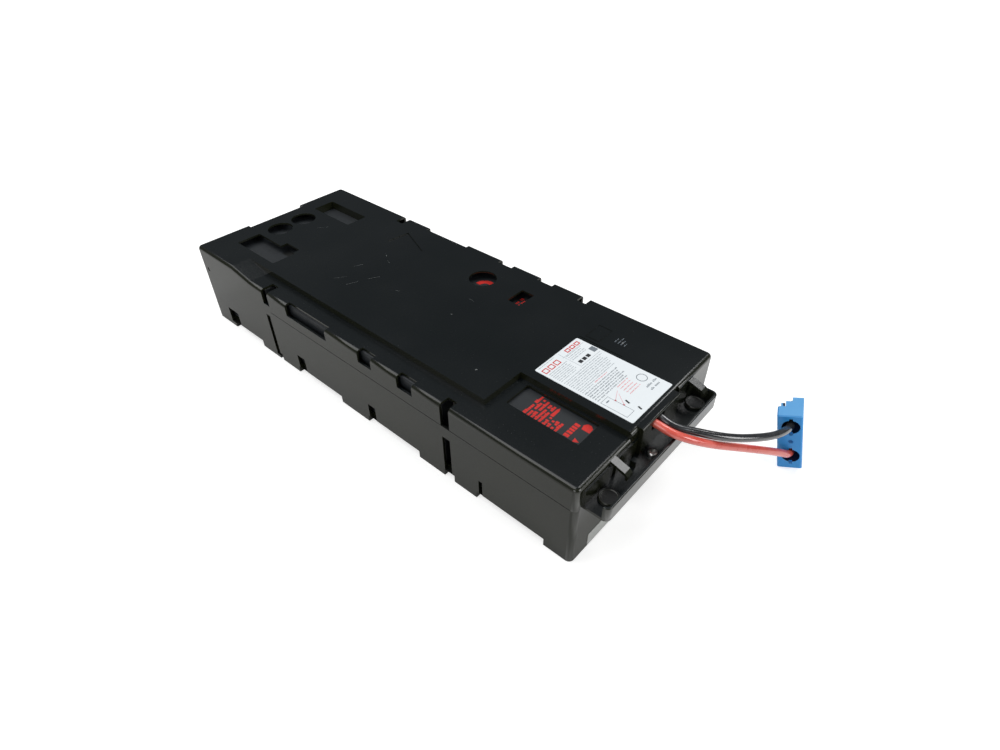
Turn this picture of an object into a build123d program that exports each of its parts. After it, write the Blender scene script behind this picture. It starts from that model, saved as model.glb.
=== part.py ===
from build123d import *
import os
from math import cos, radians, sin, tan

# Battery cartridge for an uninterruptible power supply, in millimetres.
# X is the width, Y the length and Z the height. The front, where the leads leave, faces -Y.
# The origin is at the bottom centre of the cartridge without its leads and connector.

os.makedirs("parts", exist_ok=True)

# Sealed blocks, which the shell is built around
BLOCK_WIDTH = 151.0
BLOCK_DEPTH = 94.0
BLOCK_HEIGHT = 65.0
BLOCK_COUNT = 4
TERMINAL_GAP = 9.2
SIDE_GAP = 2.7
TOP_GAP = 5.8
REAR_GAP = 1.6
TAB_WIDTH = 6.35
TAB_THICKNESS = 0.8
TAB_LENGTH = 6.3
TAB_INSET = 13.5
TAB_DROP = 18.0
STRAP_THICKNESS = 0.8
STRAP_WIDTH = 8.0

# Shell
WALL = 1.8
PLATE = 1.7
BODY_WIDTH = BLOCK_WIDTH + 2 * (SIDE_GAP + WALL)
BODY_LENGTH = BLOCK_COUNT * (BLOCK_DEPTH + TERMINAL_GAP) + REAR_GAP + 2 * WALL
TOP_LEVEL = WALL + BLOCK_HEIGHT + TOP_GAP + PLATE
STEP_HEIGHT = 4.9
COVER_HEIGHT = 24.3
LOW_LEVEL = TOP_LEVEL - STEP_HEIGHT
PART_LINE = TOP_LEVEL - COVER_HEIGHT
LIP_REACH = 17.4
CORNER_RADIUS = 4.0
EDGE_RADIUS = 3.0
HALF_WIDTH = BODY_WIDTH / 2
BACK = (BODY_LENGTH + LIP_REACH) / 2
FRONT = BACK - BODY_LENGTH

# Raised part of the cover: its left edge, its jog and the ramp behind the low strip
STEP_X = 18.8 - HALF_WIDTH
JOG_Y = FRONT + 88.5
FRONT_STEP_X = -24.5
RAMP_START = BACK - 81.6
RAMP_END = BACK - 56.1

# Hood and front lip
HOOD_LEFT = -17.3
HOOD_RIGHT = 27.1
HOOD_REACH = 3.3
LIP_LEFT = 6.6 - HALF_WIDTH
LIP_RIGHT = HALF_WIDTH - 20.8
LIP_HEIGHT = 11.2
TROUGH_FLOOR = 2.0
FLANGE_REACH = 12.7
RIVET_PLACES = ((LIP_LEFT + 15.3, 8.9), (LIP_RIGHT - 11.3, 5.6))
SCREW_PLACE = (-11.2, 9.3)

# Leads and connector
LEAD_DIAMETER = 5.6
CONNECTOR_WIDTH = 16.4
CONNECTOR_HEIGHT = 49.3
CONNECTOR_DEPTH = 21.2
CONNECTOR_NOSE = 6.0
CONNECTOR_CORNER = (83.8, -265.2)
CONNECTOR_TURN = -69.9
CONNECTOR_LEAN = 14.6
SOCKET_OFFSET = 8.8
SOCKET_HEIGHTS = (39.2, 12.4)
SOCKET_DEPTH = 10.0

# Stickers
LABEL_SIZE = (48.4, 77.8)
LABEL_CENTRE = (6.9, FRONT + 43.5)
STICKER_SIZE = (50.2, 11.2)
STICKER_CENTRE = (-37.1, 6.6)
STICKER_THICKNESS = 0.3

# Worked out from the sizes above
TAB_SPREAD = BLOCK_WIDTH / 2 - TAB_INSET
LIP_FRONT = FRONT - LIP_REACH
BLOCK_TOP = WALL + BLOCK_HEIGHT
TOP_UNDERSIDE = TOP_LEVEL - PLATE
LOW_UNDERSIDE = LOW_LEVEL - PLATE
BLOCK_PITCH = BLOCK_DEPTH + TERMINAL_GAP
TAB_HEIGHT = BLOCK_TOP - TAB_DROP
LEAD_HEIGHT = (BLOCK_TOP + TOP_UNDERSIDE) / 2 + 0.05
LIP_TOP = PART_LINE + LIP_HEIGHT
TROUGH_LEVEL = PART_LINE + TROUGH_FLOOR

# Openings, as (first, last) along each axis
SLOT_BACK = (BACK - 107.1, BACK - 98.9)
SLOT_FRONT = (FRONT + 103.3, FRONT + 111.5)
LONG_NOTCH = (34.1, 85.1)
SHORT_NOTCHES = ((-18.9, -4.2), (-61.8, -46.5))
TRAY_GROOVES = ((BACK - 103.0, BACK - 97.9, 3.0, 45.3), (FRONT + 103.8, FRONT + 111.0, 6.0, 40.0))
TRAY_WINDOWS = (
    (BACK - 40.8, BACK - 24.5),
    (74.9, 85.1),
    (-14.9, -6.7),
    (FRONT + 74.9, FRONT + 78.1),
)
BETWEEN_FEET = (
    (BACK - 75.5, BACK - 30.6),
    (BACK - 106.1, BACK - 102.0),
    (29.0, 87.1),
    (-62.3, -4.7),
    (FRONT + 101.8, FRONT + 111.5),
    (FRONT + 21.7, FRONT + 80.4),
)
TOP_WINDOWS = (
    ((-53.0, -31.0), (BACK - 78.7, BACK - 23.5)),
    ((33.0, 54.1), (BACK - 70.7, BACK - 19.4)),
    ((-31.5, -24.5), (BACK - 76.2, BACK - 57.7)),
    ((35.7, 54.1), (-59.7, -47.5)),
)
LOW_WINDOW = ((-49.8, -27.0), (FRONT + 13.3, FRONT + 79.9))
ROUND_HOLES = ((-12.6, BACK - 29.3, 11.3), (13.2, BACK - 28.9, 11.3), (46.4, -11.8, 11.5))
GATE_MARKS = ((-9.2, 85.1), (-25.0, 75.9), (-10.8, 57.3), (16.0, 73.4), (47.2, FRONT + 110.0))

# Foam pads under the raised part: (first, last) X and (first, last) distance from a block's front
TOP_PADS = (
    ((HALF_WIDTH - 44.0, HALF_WIDTH - 12.0), (29.3, 84.3)),
    ((-8.0, 26.0), (8.1, 86.1)),
    ((-22.0, 30.0), (12.9, 82.9)),
    ((-12.0, 28.0), (7.7, 51.7)),
)


def block(x, y, z):
    """A box from the first to the last coordinate along each axis."""
    size = Box(x[1] - x[0], y[1] - y[0], z[1] - z[0])
    return Pos((x[0] + x[1]) / 2, (y[0] + y[1]) / 2, (z[0] + z[1]) / 2) * size


def both_sides(shape):
    """The shape and its mirror image on the other long side."""
    return shape + mirror(shape, about=Plane.YZ)


def side_profile(points, x):
    """A profile drawn in Y and Z, from the first to the last X."""
    plane = Plane(origin=(x[0], 0, 0), x_dir=(0, 1, 0), z_dir=(1, 0, 0))
    profile = plane * make_face(Polyline(*points, close=True))
    return extrude(profile, x[1] - x[0])


def rounded_slab(bottom, top, inset=0.0):
    """The body's rounded outline between two heights."""
    outline = RectangleRounded(
        BODY_WIDTH - 2 * inset, BODY_LENGTH - 2 * inset, max(CORNER_RADIUS - inset, 0.5)
    )
    return Pos(0, (FRONT + BACK) / 2, bottom) * extrude(outline, top - bottom)


def soft_slab(bottom, top):
    """The body's outline with its upper edge rounded."""
    slab = rounded_slab(bottom, top)
    return fillet(slab.edges().group_by(Axis.Z)[-1], EDGE_RADIUS)


def block_front(number):
    """Y of the terminal face of a block, counted from the front."""
    return FRONT + WALL + TERMINAL_GAP + number * BLOCK_PITCH


def undercut(span):
    """Wedge taken off both bottom edges between two feet."""
    rise = 6.1
    run = 4.2
    points = (
        (HALF_WIDTH + 1, -1),
        (HALF_WIDTH - run, -1),
        (HALF_WIDTH - run, 0),
        (HALF_WIDTH, rise),
        (HALF_WIDTH + 1, rise),
    )
    profile = make_face(Polyline(*points, close=True))
    plane = Plane(origin=(0, span[0], 0), x_dir=(1, 0, 0), z_dir=(0, -1, 0))
    return both_sides(extrude(plane * profile, -(span[1] - span[0])))


def tray_ribs():
    """Low cross ribs that keep the blocks apart."""
    ribs = []
    half = BLOCK_WIDTH / 2 - 5.5
    reach = (-half, half)
    heights = (WALL - 0.5, 10.0)
    for number in range(BLOCK_COUNT):
        start = block_front(number)
        ribs.append(block(reach, (start - 1.6, start), heights))
        if number < BLOCK_COUNT - 1:
            end = start + BLOCK_DEPTH
            ribs.append(block(reach, (end, end + 1.6), heights))
    return ribs


def bottom_tray():
    """Tray with feet, side curbs, cross ribs, grooves, small windows and the front flange."""
    tray = rounded_slab(0, PART_LINE) - rounded_slab(WALL, PART_LINE + 1, WALL)
    across = (BLOCK_WIDTH / 2 + 0.2, HALF_WIDTH - WALL + 0.5)
    curb = block(across, (FRONT + 6, BACK - 6), (WALL - 0.5, 8.0))
    tray += both_sides(curb)
    for rib in tray_ribs():
        tray += rib
    for span in BETWEEN_FEET:
        tray -= undercut(span)
    for groove in TRAY_GROOVES:
        cut = block((HALF_WIDTH - 4.0, HALF_WIDTH + 1), groove[0:2], groove[2:4])
        tray -= both_sides(cut)
    for window in TRAY_WINDOWS:
        cut = block((HALF_WIDTH - 4.0, HALF_WIDTH + 1), window, (4.0, 19.4))
        tray -= both_sides(cut)
    across = (LIP_LEFT + 3.4, LIP_RIGHT - 3.2)
    flange = block(across, (FRONT - FLANGE_REACH, FRONT + 0.5), (PART_LINE - WALL, PART_LINE))
    tray += flange
    for x, reach in RIVET_PLACES:
        tray -= Pos(x, FRONT - reach, PART_LINE - 1) * Cylinder(2.2, 4)
    tray -= Pos(SCREW_PLACE[0], FRONT - SCREW_PLACE[1], PART_LINE - 1) * Cylinder(1.6, 4)
    return tray


def raised_area(inset, bottom, top):
    """The raised part in plan, pulled in from its free steps by an inset."""
    left = STEP_X + inset
    far_left = -HALF_WIDTH - 1
    area = block((left, HALF_WIDTH + 1), (JOG_Y + inset, BACK + 1), (bottom, top))
    area += block((FRONT_STEP_X + inset, HALF_WIDTH + 1), (FRONT - 1, JOG_Y + 5), (bottom, top))
    area += block((far_left, left + 1), (RAMP_END + inset, BACK + 1), (bottom, top))
    return area


def strip_section(y, top, x, radius):
    """Upright section of the low strip with its outer upper corner rounded."""
    base = PART_LINE + 2
    plane = Plane(origin=(0, y, 0), x_dir=(1, 0, 0), z_dir=(0, -1, 0))
    section = plane * make_face(Polyline((x[0], base), (x[1], base), (x[1], top), (x[0], top), close=True))
    corner = section.vertices().sort_by(lambda vertex: vertex.Z - vertex.X)[-1]
    return fillet(corner, radius)


def ramp(low, high, shift, x, radius):
    """The slope that brings the low strip up to the raised part."""
    start = strip_section(RAMP_START + shift, low, x, radius)
    end = strip_section(RAMP_END + shift, high, x, radius)
    return loft([start, end], ruled=True)


def cover_outer():
    """Outside of the cover: low level, raised level and the slope between them."""
    low = soft_slab(PART_LINE, LOW_LEVEL)
    high = soft_slab(PART_LINE, TOP_LEVEL) & raised_area(0, PART_LINE, TOP_LEVEL + 1)
    slope = ramp(LOW_LEVEL, TOP_LEVEL, 0, (-HALF_WIDTH, STEP_X), EDGE_RADIUS)
    return low + high + slope


def cover_inner():
    """Room inside the cover, one plate thickness below its outside."""
    room = rounded_slab(PART_LINE - 1, LOW_UNDERSIDE, WALL)
    raised = rounded_slab(PART_LINE - 1, TOP_UNDERSIDE, WALL) & raised_area(PLATE, PART_LINE - 1, TOP_LEVEL)
    room += raised
    room += ramp(LOW_UNDERSIDE, TOP_UNDERSIDE, PLATE, (-HALF_WIDTH + WALL, STEP_X + PLATE), 0.5)
    return room


def hood():
    """Box over the place where the leads come out."""
    shell = block((HOOD_LEFT, HOOD_RIGHT), (FRONT - HOOD_REACH, FRONT + 2), (PART_LINE, TOP_LEVEL))
    front_edge = shell.edges().filter_by(Axis.X).sort_by(lambda e: e.center().Z - e.center().Y)[-1]
    return fillet(front_edge, 1.2)


def front_lip():
    """Open trough in front of the cover, with its pads and rib."""
    outer = block((LIP_LEFT, LIP_RIGHT), (LIP_FRONT, FRONT + 0.5), (PART_LINE, LIP_TOP))
    corners = outer.edges().filter_by(Axis.Z).group_by(Axis.Y)[0]
    outer = fillet(corners, CORNER_RADIUS)
    rim = outer.faces().sort_by(Axis.Z)[-1].edges().filter_by(Axis.X).sort_by(Axis.Y)[0]
    outer = fillet(rim, 0.8)
    room = (LIP_LEFT + WALL, LIP_RIGHT - WALL)
    inside = block(room, (LIP_FRONT + WALL, FRONT), (TROUGH_LEVEL, LIP_TOP + 1))
    inside = fillet(inside.edges().filter_by(Axis.Z).group_by(Axis.Y)[0], CORNER_RADIUS - WALL)
    lip = outer - inside
    lip += block((-28.5, -24.5), (FRONT - 7.4, FRONT - 3.4), (TROUGH_LEVEL - 0.5, TROUGH_LEVEL + 4.5))
    lip += block((-22.0, -7.5), (FRONT - 13.8, FRONT - 13.0), (TROUGH_LEVEL - 0.5, TROUGH_LEVEL + 3.5))
    for x, reach in RIVET_PLACES:
        lip -= Pos(x, FRONT - reach, PART_LINE) * Cylinder(2.2, 8)
    lip -= Pos(SCREW_PLACE[0], FRONT - SCREW_PLACE[1], PART_LINE) * Cylinder(1.6, 8)
    return lip


def front_hook(x, root):
    """Springy tongue over the trough with its end turned down."""
    tip = FRONT - 12.2
    points = (
        (FRONT + 1.0, root + 0.3),
        (FRONT - 10.0, root - 3.0),
        (tip, root - 4.8),
        (tip, root - 8.4),
        (tip + 1.6, root - 8.4),
        (tip + 1.8, root - 5.6),
        (FRONT + 1.0, root - 1.8),
    )
    return side_profile(points, x)


def alignment_skirt():
    """Thin inner skirt of the cover that drops inside the tray wall."""
    skirt = rounded_slab(PART_LINE - 4, PART_LINE, WALL + 0.1)
    skirt += rounded_slab(PART_LINE, PART_LINE + 2, WALL - 0.2)
    return skirt - rounded_slab(PART_LINE - 5, PART_LINE + 3, WALL + 1.3)


def window_skirt(window):
    """Walls hanging under a window of the raised part, down to the block."""
    x, y = window
    outer = block((x[0] - 1.5, x[1] + 1.5), (y[0] - 1.5, y[1] + 1.5), (BLOCK_TOP + 0.1, TOP_LEVEL - 0.5))
    return outer - block(x, y, (BLOCK_TOP, TOP_LEVEL))


def window_cut(window, bottom):
    """Opening with small round corners through a top plate."""
    x, y = window
    cut = block(x, y, (bottom, TOP_LEVEL + 1))
    return fillet(cut.edges().filter_by(Axis.Z), 1.0)


def side_cuts():
    """Slots and notches along both long sides."""
    notches = []
    top = TOP_LEVEL + 1
    notches.append(block((HALF_WIDTH - 12.2, HALF_WIDTH + 1), SLOT_BACK, (PART_LINE + 6.5, top)))
    notches.append(block((HALF_WIDTH - 9.0, HALF_WIDTH + 1), SLOT_FRONT, (PART_LINE - 5, top)))
    notches.append(block((HALF_WIDTH - 5.3, HALF_WIDTH + 1), LONG_NOTCH, (PART_LINE + 9.2, top)))
    for notch in SHORT_NOTCHES:
        notches.append(block((HALF_WIDTH - 6.1, HALF_WIDTH + 1), notch, (PART_LINE + 9.6, top)))
    return notches


def surface_marks():
    """Shallow marks in the top: gate dimples, a framed field, a fine line and a wedge."""
    marks = []
    for x, y in GATE_MARKS:
        marks.append(Pos(x, y, TOP_LEVEL) * Cylinder(1.5, 0.8))
    field = block((37.3, 55.1), (FRONT + 67.6, FRONT + 79.4), (TOP_LEVEL - 0.4, TOP_LEVEL + 1))
    field -= block((37.9, 54.5), (FRONT + 68.2, FRONT + 78.8), (TOP_LEVEL - 1, TOP_LEVEL + 2))
    marks.append(field)
    line = (FRONT + 45.7, FRONT + 82.4)
    marks.append(block((33.9, 34.5), line, (TOP_LEVEL - 0.4, TOP_LEVEL + 1)))
    wedge = make_face(Polyline((37.2, 95.5), (59.4, 92.6), (44.7, 57.7), (35.8, 69.7), close=True))
    marks.append(Pos(0, 0, TOP_LEVEL - 0.9) * extrude(wedge, 2))
    marks.append(Pos(-HALF_WIDTH, BACK - 10.2, PART_LINE + 4.0) * Rot(0, 90, 0) * Cylinder(2.0, 0.8))
    return marks


def back_shelf():
    """Wall and shelf that close the shallow notch in the back edge."""
    x = (-30.8, 30.4)
    return block(x, (BACK - 7.9, BACK - WALL + 0.5), (BLOCK_TOP + 0.1, TOP_LEVEL - 0.5))


def top_cover():
    """Whole cover, one moulding."""
    cover = cover_outer() + hood()
    cover -= cover_inner()
    cover -= block(
        (HOOD_LEFT + WALL, HOOD_RIGHT - WALL),
        (FRONT - HOOD_REACH + WALL, FRONT + WALL + 2),
        (PART_LINE - 1, TOP_UNDERSIDE),
    )
    cover += front_lip()
    cover += front_hook((-46.9, -41.2), LOW_LEVEL - 1.4)
    cover += front_hook((45.4, 51.6), TOP_LEVEL - 3.2)
    cover += alignment_skirt()
    cover += back_shelf()
    backing = block((HOOD_RIGHT - WALL, 34.4), (FRONT + WALL - 0.5, FRONT + 3.3), (LIP_TOP, TOP_LEVEL - 0.5))
    cover += backing
    cover += window_skirt(TOP_WINDOWS[1])
    for window in TOP_WINDOWS:
        cover -= window_cut(window, BLOCK_TOP - 0.1)
    cover -= window_cut(LOW_WINDOW, BLOCK_TOP - 0.1)
    for x, y, radius in ROUND_HOLES:
        cover -= Pos(x, y, TOP_LEVEL) * Cylinder(radius, 2 * PLATE + 2)
    for cut in side_cuts():
        cover -= both_sides(cut)
    for mark in surface_marks():
        cover -= mark
    cover -= block((-29.0, 28.6), (BACK - 6.1, BACK + 1), (BLOCK_TOP + 1.9, TOP_LEVEL + 1))
    cover -= block((HOOD_RIGHT, 32.6), (FRONT - 1, FRONT + 1.5), (LIP_TOP, TOP_LEVEL + 1))
    cover -= block((-5.9, 8.4), (FRONT - HOOD_REACH - 1, FRONT - 1), (LEAD_HEIGHT - 5.2, TOP_UNDERSIDE))
    skin = (HALF_WIDTH - 0.4, HALF_WIDTH + 1)
    reveal = block(skin, (FRONT + 4, SLOT_BACK[0]), (PART_LINE - 1, PART_LINE + 0.5))
    cover -= both_sides(reveal)
    return cover


def battery_block(number):
    """Sealed block lying on its side, tabs towards the front."""
    start = block_front(number)
    half = BLOCK_WIDTH / 2
    case = block((-half, half), (start, start + BLOCK_DEPTH), (WALL, BLOCK_TOP))
    case = fillet(case.edges(), 1.5)
    seam = block((-half - 1, half + 1), (start + 9.0, start + 9.6), (WALL - 1, BLOCK_TOP + 1))
    seam -= block((-half + 0.5, half - 0.5), (start, start + 20), (WALL + 0.5, BLOCK_TOP - 0.5))
    case -= seam
    for side in (-1, 1):
        x = side * TAB_SPREAD
        case += block((x - 5.5, x + 5.5), (start - 1.5, start + 1), (TAB_HEIGHT - 5, TAB_HEIGHT + 5))
        width = (x - TAB_WIDTH / 2, x + TAB_WIDTH / 2)
        thickness = (TAB_HEIGHT - TAB_THICKNESS / 2, TAB_HEIGHT + TAB_THICKNESS / 2)
        case += block(width, (start - TAB_LENGTH, start), thickness)
    return case


def tab_sleeve(x, start, reach):
    """Receptacle that slips over a tab, from the tab's base outwards."""
    sleeve = block((x - 4.2, x + 4.2), (start - reach, start - 1.5), (TAB_HEIGHT - 1.6, TAB_HEIGHT + 1.6))
    width = (x - TAB_WIDTH / 2, x + TAB_WIDTH / 2)
    thickness = (TAB_HEIGHT - TAB_THICKNESS / 2, TAB_HEIGHT + TAB_THICKNESS / 2)
    return sleeve - block(width, (start - TAB_LENGTH, start), thickness)


def riser(x, start):
    """Plate that climbs the terminal face from a tab's base to the top of the block."""
    inner = start - 1.5
    plate = block(x, (inner - STRAP_THICKNESS, inner), (TAB_HEIGHT + 1.2, BLOCK_TOP + STRAP_THICKNESS))
    return plate


def link_strap(number):
    """Series link: up from one tab, over its block, down and across to the next block's tab."""
    start = block_front(number)
    following = block_front(number + 1)
    end = start + BLOCK_DEPTH
    left = -TAB_SPREAD - STRAP_WIDTH / 2
    x = (left, left + STRAP_WIDTH)
    strap = tab_sleeve(-TAB_SPREAD, start, 7.6)
    strap += riser(x, start)
    over = (start - 1.5 - STRAP_THICKNESS, end + STRAP_THICKNESS)
    strap += block(x, over, (BLOCK_TOP, BLOCK_TOP + STRAP_THICKNESS))
    strap += block(x, (end, end + STRAP_THICKNESS), (TAB_HEIGHT - 4, BLOCK_TOP + STRAP_THICKNESS))
    across = (left, TAB_SPREAD + STRAP_WIDTH / 2)
    strap += block(across, (end, end + STRAP_THICKNESS), (TAB_HEIGHT - 4, TAB_HEIGHT + 4))
    strap += tab_sleeve(TAB_SPREAD, following, following - end - STRAP_THICKNESS / 2)
    return strap


def positive_lug():
    """Lug on the last block's left tab, its barrel pointing to the front."""
    start = block_front(BLOCK_COUNT - 1)
    lug = tab_sleeve(-TAB_SPREAD, start, 7.6)
    lug += riser((-TAB_SPREAD - 4, POSITIVE_X + 3.5), start)
    lug += block(
        (POSITIVE_X - 3.5, POSITIVE_X + 3.5),
        (POSITIVE_Y, start - 1.5),
        (BLOCK_TOP, BLOCK_TOP + STRAP_THICKNESS),
    )
    length = start - 1.5 - POSITIVE_Y
    barrel = Rot(90, 0, 0) * Cylinder(LEAD_DIAMETER / 2, length)
    return lug + Pos(POSITIVE_X, POSITIVE_Y + length / 2, LEAD_HEIGHT) * barrel


def negative_lug():
    """Lug on the first block's right tab, its barrel pointing to the middle."""
    start = block_front(0)
    lug = tab_sleeve(TAB_SPREAD, start, 7.6)
    x = (TAB_SPREAD - 4, TAB_SPREAD + 4)
    lug += riser(x, start)
    top = (BLOCK_TOP, BLOCK_TOP + STRAP_THICKNESS)
    lug += block(x, (start - 1.5 - STRAP_THICKNESS, NEGATIVE_Y + 3.5), top)
    lug += block((NEGATIVE_X, TAB_SPREAD + 4), (NEGATIVE_Y - 3.5, NEGATIVE_Y + 3.5), top)
    length = TAB_SPREAD + 2 - NEGATIVE_X
    barrel = Rot(0, 90, 0) * Cylinder(LEAD_DIAMETER / 2, length)
    return lug + Pos(NEGATIVE_X + length / 2, NEGATIVE_Y, LEAD_HEIGHT) * barrel


POSITIVE_X = 8.5 - TAB_SPREAD
POSITIVE_Y = block_front(BLOCK_COUNT - 1) - 12.3
NEGATIVE_X = TAB_SPREAD - 14.0
NEGATIVE_Y = block_front(0) + 13.3


def connector_plane():
    """Plane of the connector: X is its thickness, Y its depth, Z its height."""
    turn = radians(CONNECTOR_TURN)
    lean = radians(CONNECTOR_LEAN)
    thickness = (cos(turn) * cos(lean), sin(turn) * cos(lean), sin(lean))
    upright = (-cos(turn) * sin(lean), -sin(turn) * sin(lean), cos(lean))
    return Plane(origin=(*CONNECTOR_CORNER, 0), x_dir=thickness, z_dir=upright)


def socket_point(height, depth):
    """A point on a socket's axis, at a depth behind the wire face."""
    return connector_plane().from_local_coords((SOCKET_OFFSET, depth, height))


def red_route():
    """Red lead: from its lug over the blocks, out under the hood and down to the lower socket."""
    return [
        (POSITIVE_X, POSITIVE_Y, LEAD_HEIGHT),
        (POSITIVE_X, 72.0, LEAD_HEIGHT),
        (-46.0, 30.0, LEAD_HEIGHT),
        (-36.5, -14.0, LEAD_HEIGHT),
        (-29.0, -56.0, LEAD_HEIGHT),
        (-18.5, -97.0, LEAD_HEIGHT),
        (-9.5, FRONT + 63.3, LEAD_HEIGHT),
        (-4.0, FRONT + 32.3, LEAD_HEIGHT),
        (-2.6, FRONT + 11.8, LEAD_HEIGHT),
        (-2.5, FRONT - 2.7, 69.3),
        (-1.6, -214.0, 66.9),
        (5.0, -224.2, 61.6),
        (20.0, -235.1, 52.5),
        (41.5, -247.3, 40.9),
        (60.5, -257.6, 30.8),
        (75.3, -265.0, 22.2),
        socket_point(SOCKET_HEIGHTS[1], 1.0),
        socket_point(SOCKET_HEIGHTS[1], SOCKET_DEPTH),
    ]


def black_route():
    """Black lead: from its lug across the first block, out under the hood and to the upper socket."""
    return [
        (NEGATIVE_X, NEGATIVE_Y, LEAD_HEIGHT),
        (33.5, NEGATIVE_Y, LEAD_HEIGHT),
        (19.0, FRONT + 21.9, LEAD_HEIGHT),
        (8.8, FRONT + 12.3, LEAD_HEIGHT),
        (4.0, FRONT - 3.7, 68.8),
        (7.2, -214.0, 65.8),
        (13.9, -223.2, 62.6),
        (23.4, -235.0, 59.4),
        (33.2, -244.0, 56.3),
        (45.4, -251.9, 52.5),
        (59.4, -259.0, 47.9),
        (72.5, -262.9, 43.9),
        socket_point(SOCKET_HEIGHTS[0], 1.0),
        socket_point(SOCKET_HEIGHTS[0], SOCKET_DEPTH),
    ]


def lead(name, route):
    """Round cable of straight runs joined by tangent arcs; prints its radii and its volume."""
    points = [Vector(*point) for point in route]
    runs = [(after - before).length for before, after in zip(points, points[1:])]
    turns = [(b - a).get_angle(c - b) for a, b, c in zip(points, points[1:], points[2:])]
    radii = [0.45 * min(one, two) / tan(radians(turn) / 2) for one, two, turn in zip(runs, runs[1:], turns)]
    path = FilletPolyline(*points, radius=radii)
    section = Plane(origin=points[0], z_dir=points[1] - points[0]) * Circle(LEAD_DIAMETER / 2)
    tube = sweep(section, path=path)
    ratio = tube.volume / (section.area * path.length)
    print(name, "length %.1f" % path.length, "volume over section times length %.4f" % ratio)
    print("  runs", [round(run, 1) for run in runs])
    print("  turns", [round(turn, 1) for turn in turns])
    print("  radii", [round(radius, 1) for radius in radii])
    return tube


def connector_housing():
    """Two-way housing with wire funnels at one end and a keyed mating end at the other."""
    width = CONNECTOR_WIDTH
    height = CONNECTOR_HEIGHT
    body = block((0, width), (0, 11.2), (0, height))
    body = fillet(body.edges().filter_by(Axis.Z), 1.5)
    front = body.faces().sort_by(Axis.Y)[0].edges()
    body = chamfer(front, 0.8)
    body += block((5.0, width), (10.0, 16.9), (1.0, height - 0.6))
    body += block((9.2, width), (16.0, CONNECTOR_DEPTH), (1.0, height - 0.6))
    body += block((2.0, width - 1), (10.0, CONNECTOR_DEPTH), (6.0, height - 8.0))
    body += block((1.5, width - 3), (20.0, CONNECTOR_DEPTH + CONNECTOR_NOSE), (9.0, height - 11.0))
    funnel = Rot(90, 0, 0) * Cylinder(6.0, SOCKET_DEPTH + 1)
    for z in SOCKET_HEIGHTS:
        body -= Pos(SOCKET_OFFSET, SOCKET_DEPTH / 2 - 0.5, z) * funnel
        body -= block((SOCKET_OFFSET - 1.2, SOCKET_OFFSET + 1.2), (-1, 2.0), (z - 7.4, z + 7.4))
        body -= Pos(SOCKET_OFFSET, SOCKET_DEPTH + 4, z) * Rot(90, 0, 0) * Cylinder(3.6, 9.0)
        body -= block(
            (SOCKET_OFFSET - 4.6, SOCKET_OFFSET + 3.4),
            (SOCKET_DEPTH + 7.0, CONNECTOR_DEPTH + CONNECTOR_NOSE + 1),
            (z - 5.0, z + 5.0),
        )
    middle = sum(SOCKET_HEIGHTS) / 2
    body -= Pos(SOCKET_OFFSET, 3.0, middle) * Rot(90, 0, 0) * Cylinder(1.7, 8.0)
    return connector_plane() * body


def connector_contact(height):
    """Crimp barrel with a flat tongue that reaches into the mating mouth."""
    barrel = Pos(SOCKET_OFFSET, SOCKET_DEPTH + 4, height) * Rot(90, 0, 0) * Cylinder(3.4, 8.0)
    tongue = block(
        (SOCKET_OFFSET - 0.8, SOCKET_OFFSET + 0.8),
        (SOCKET_DEPTH + 7, CONNECTOR_DEPTH + CONNECTOR_NOSE - 2),
        (height - 3.2, height + 3.2),
    )
    ring = Pos(SOCKET_OFFSET, SOCKET_DEPTH + 6, height) * Rot(90, 0, 0) * Cylinder(3.6, 1.6)
    return connector_plane() * (barrel + tongue + ring)


def trough_rivets():
    """Two push fasteners that hold the trough to the tray's flange."""
    rivets = []
    for x, reach in RIVET_PLACES:
        head = Pos(x, FRONT - reach, TROUGH_LEVEL + 0.9) * Cylinder(4.1, 1.8)
        head = fillet(head.edges().sort_by(Axis.Z)[-1], 0.9)
        shank = Pos(x, FRONT - reach, TROUGH_LEVEL - 2.9) * Cylinder(2.2, 5.8)
        rivets.append(head + shank)
    return Compound(children=rivets)


def trough_screw():
    """Pan head screw with a cross recess."""
    x = SCREW_PLACE[0]
    y = FRONT - SCREW_PLACE[1]
    head = Pos(x, y, TROUGH_LEVEL + 1.2) * Cylinder(3.4, 2.4)
    head = fillet(head.edges().sort_by(Axis.Z)[-1], 1.2)
    top = TROUGH_LEVEL + 2.4
    head -= block((x - 2.0, x + 2.0), (y - 0.4, y + 0.4), (top - 1.2, top + 1))
    head -= block((x - 0.4, x + 0.4), (y - 2.0, y + 2.0), (top - 1.2, top + 1))
    return head + Pos(x, y, TROUGH_LEVEL - 3.0) * Cylinder(1.6, 6.0)


def top_pad(number):
    """Foam between a block and the raised part of the cover."""
    x, reach = TOP_PADS[number]
    start = block_front(number)
    return block(x, (start + reach[0], start + reach[1]), (BLOCK_TOP, TOP_UNDERSIDE))


def rear_pad():
    """Foam between the last block and the back wall."""
    start = block_front(BLOCK_COUNT - 1) + BLOCK_DEPTH
    half = BLOCK_WIDTH / 2 - 15.5
    return block((-half, half), (start, BACK - WALL), (12.0, PART_LINE - 5))


def top_label():
    """Label on the raised part in front."""
    outline = RectangleRounded(*LABEL_SIZE, 1.2)
    return Pos(*LABEL_CENTRE, TOP_LEVEL) * extrude(outline, STICKER_THICKNESS)


def front_sticker():
    """Pale strip low on the front of the tray."""
    x, z = STICKER_CENTRE
    plane = Plane(origin=(x, FRONT, z), x_dir=(1, 0, 0), z_dir=(0, -1, 0))
    return extrude(plane * RectangleRounded(*STICKER_SIZE, 0.8), STICKER_THICKNESS)


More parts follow.
